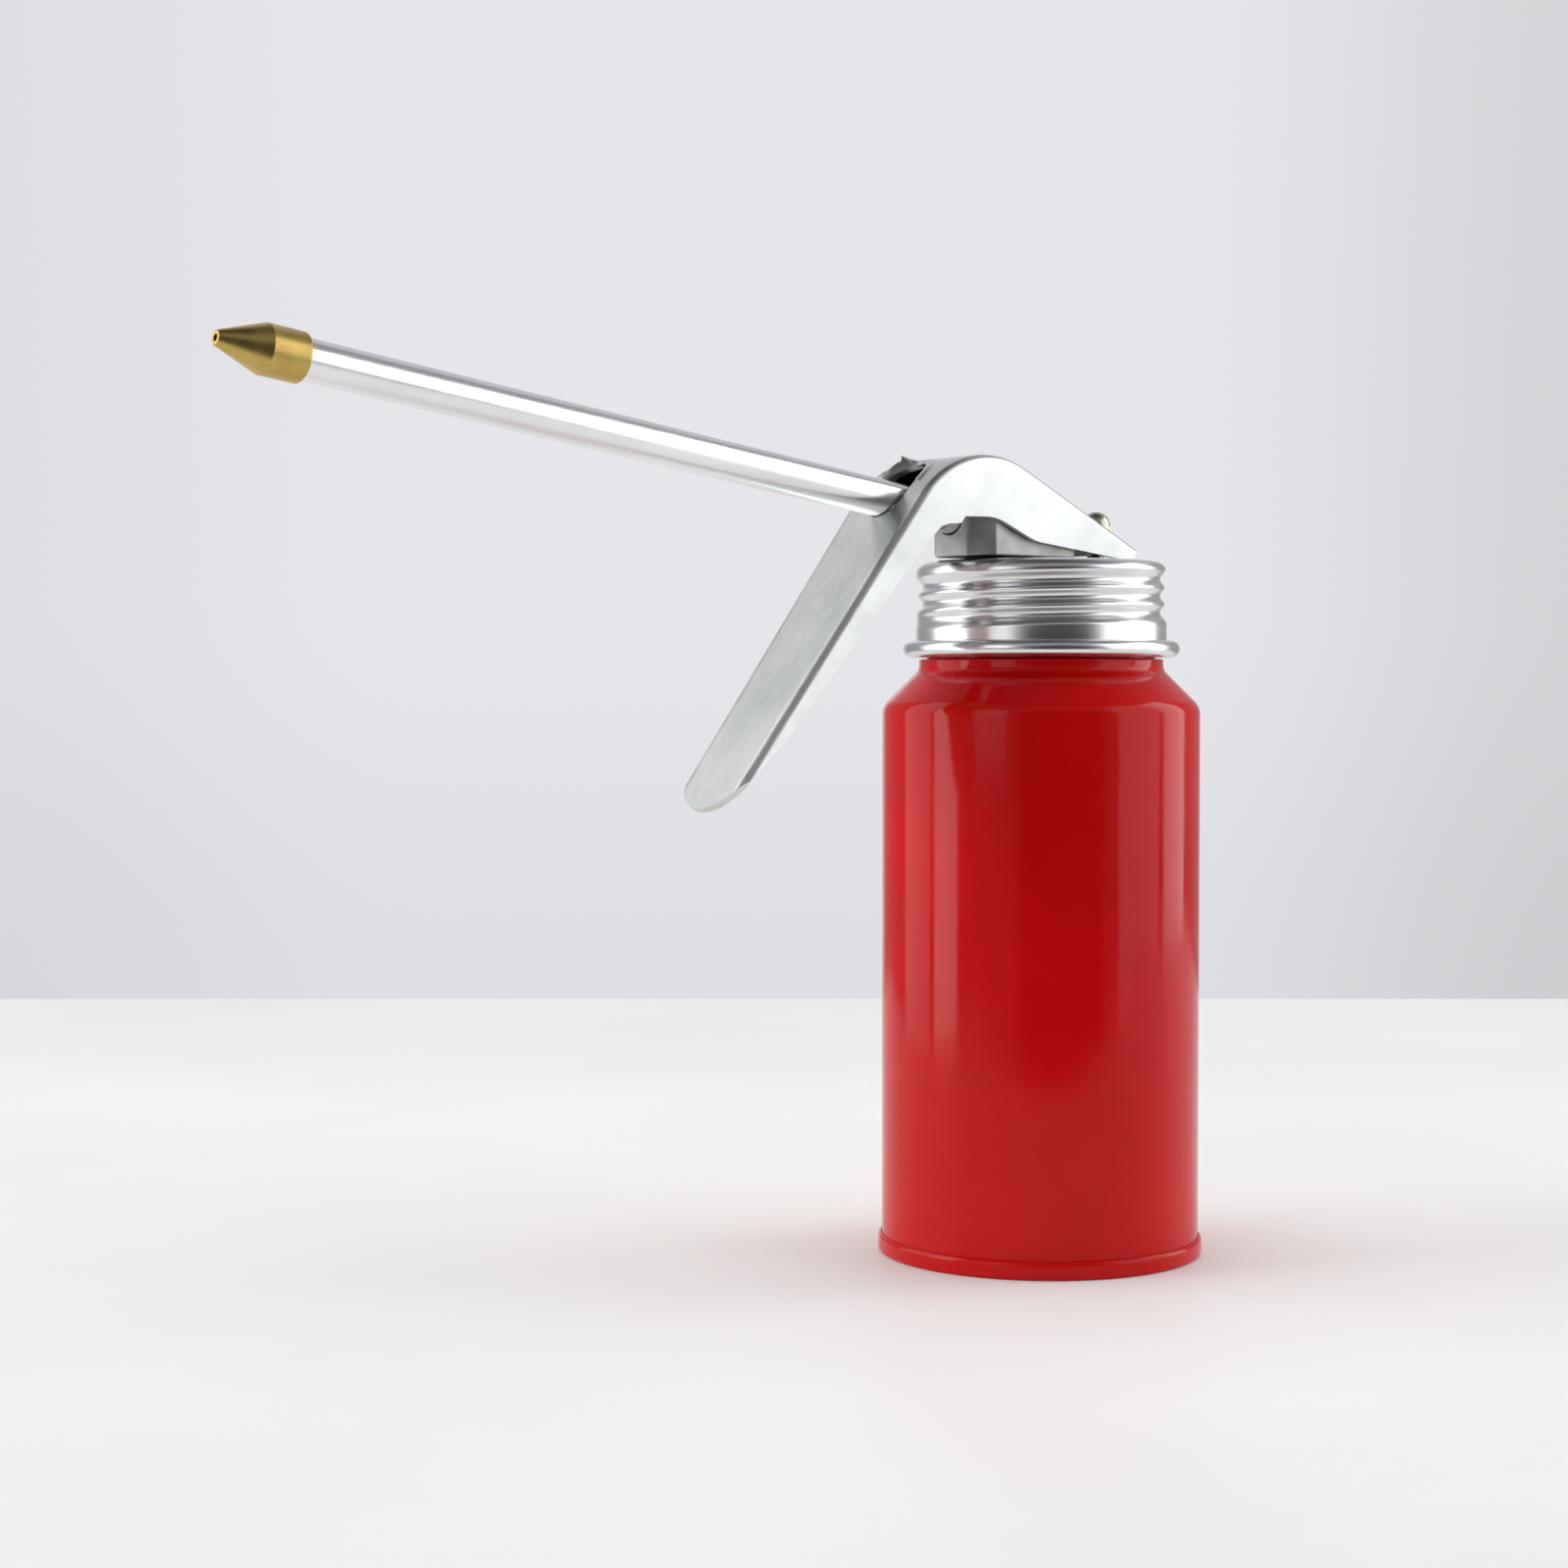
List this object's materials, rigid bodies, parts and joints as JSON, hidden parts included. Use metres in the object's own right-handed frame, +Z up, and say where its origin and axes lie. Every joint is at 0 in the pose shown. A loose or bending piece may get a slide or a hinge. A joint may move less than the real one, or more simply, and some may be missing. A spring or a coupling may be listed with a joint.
{
  "type": "pump oil can",
  "caption": "Hand pump oil can: round seamed can, screw cap, trigger lever that drives a small ball-valve pump, and a long straight spout with a cone nozzle.",
  "frame": {"origin": "On the floor under the middle of the object's bounding box, in the plane that halves the can, the lever and the spout.", "axes": "+Z up along the can's axis, -X the way the spout points, +Y to the left of someone who looks along +X."},
  "size_m": [0.177, 0.0536, 0.1426],
  "materials": {
    "red_enamel": "glossy red enamel on tinplate",
    "cap_aluminium": "bright rolled aluminium sheet",
    "zinc_plate": "satin zinc plate on pressed steel",
    "nickel_plate": "polished nickel plate on steel tube",
    "zinc_casting": "plated zinc die casting",
    "brass": "satin turned brass",
    "bright_steel": "bright turned steel",
    "nitrile": "black oil-proof rubber",
    "fibre": "brown sealing fibre",
    "dip_polymer": "milky plastic tube"
  },
  "bodies": {
    "can": {"can_shell": "red_enamel", "can_bottom": "red_enamel"},
    "gasket": {"cap_gasket": "nitrile"},
    "cap": {"screw_cap": "cap_aluminium", "pump_block": "zinc_casting", "block_washer": "fibre", "lock_washer": "bright_steel", "lock_nut": "zinc_plate", "gland_ring": "brass", "gland_seal": "nitrile", "inlet_seat": "brass", "dip_tube": "dip_polymer", "return_spring": "bright_steel", "ball_stop": "brass", "spout_tube": "nickel_plate", "spout_nozzle": "brass", "fulcrum_stud": "bright_steel", "dome_nut": "brass", "stud_washer": "bright_steel", "stud_nut": "zinc_plate"},
    "lever": {"lever": "zinc_plate"},
    "plunger": {"plunger": "bright_steel"},
    "inlet_ball": {"inlet_ball": "bright_steel"},
    "outlet_ball": {"outlet_ball": "bright_steel"}
  },
  "joints": [
    {"name": "cap_rise", "type": "slide", "parent": "can", "child": "gasket", "axis": [0, 0, 1], "range_m": [0, 0.0084]},
    {"name": "cap_unscrew", "type": "hinge", "parent": "gasket", "child": "cap", "pos_m": [0.06168, 0, 0.106], "axis": [0, 0, 1], "range_deg": [0, 1080]},
    {"name": "lever_squeeze", "type": "hinge", "parent": "cap", "child": "lever", "pos_m": [0.07418, 0, 0.1144], "axis": [0, -1, 0], "range_deg": [0, 5], "stiffness_Nm_per_rad": 0.25, "springref_deg": -22.92},
    {"name": "plunger_stroke", "type": "slide", "parent": "cap", "child": "plunger", "axis": [0, 0, -1], "range_m": [0, 0.0021], "deforming": ["return_spring"]},
    {"name": "inlet_ball_lift", "type": "slide", "parent": "cap", "child": "inlet_ball", "axis": [0, 0, 1], "range_m": [0, 0.0007]},
    {"name": "outlet_ball_lift", "type": "slide", "parent": "cap", "child": "outlet_ball", "axis": [-0.9896, 0, 0.1437], "range_m": [0, 0.0012]}
  ],
  "couplings": [
    {"joint": "cap_rise", "follows": "cap_unscrew", "m_per_rad": 0.00043768},
    {"joint": "plunger_stroke", "follows": "lever_squeeze", "m_per_rad": 0.0231}
  ]
}
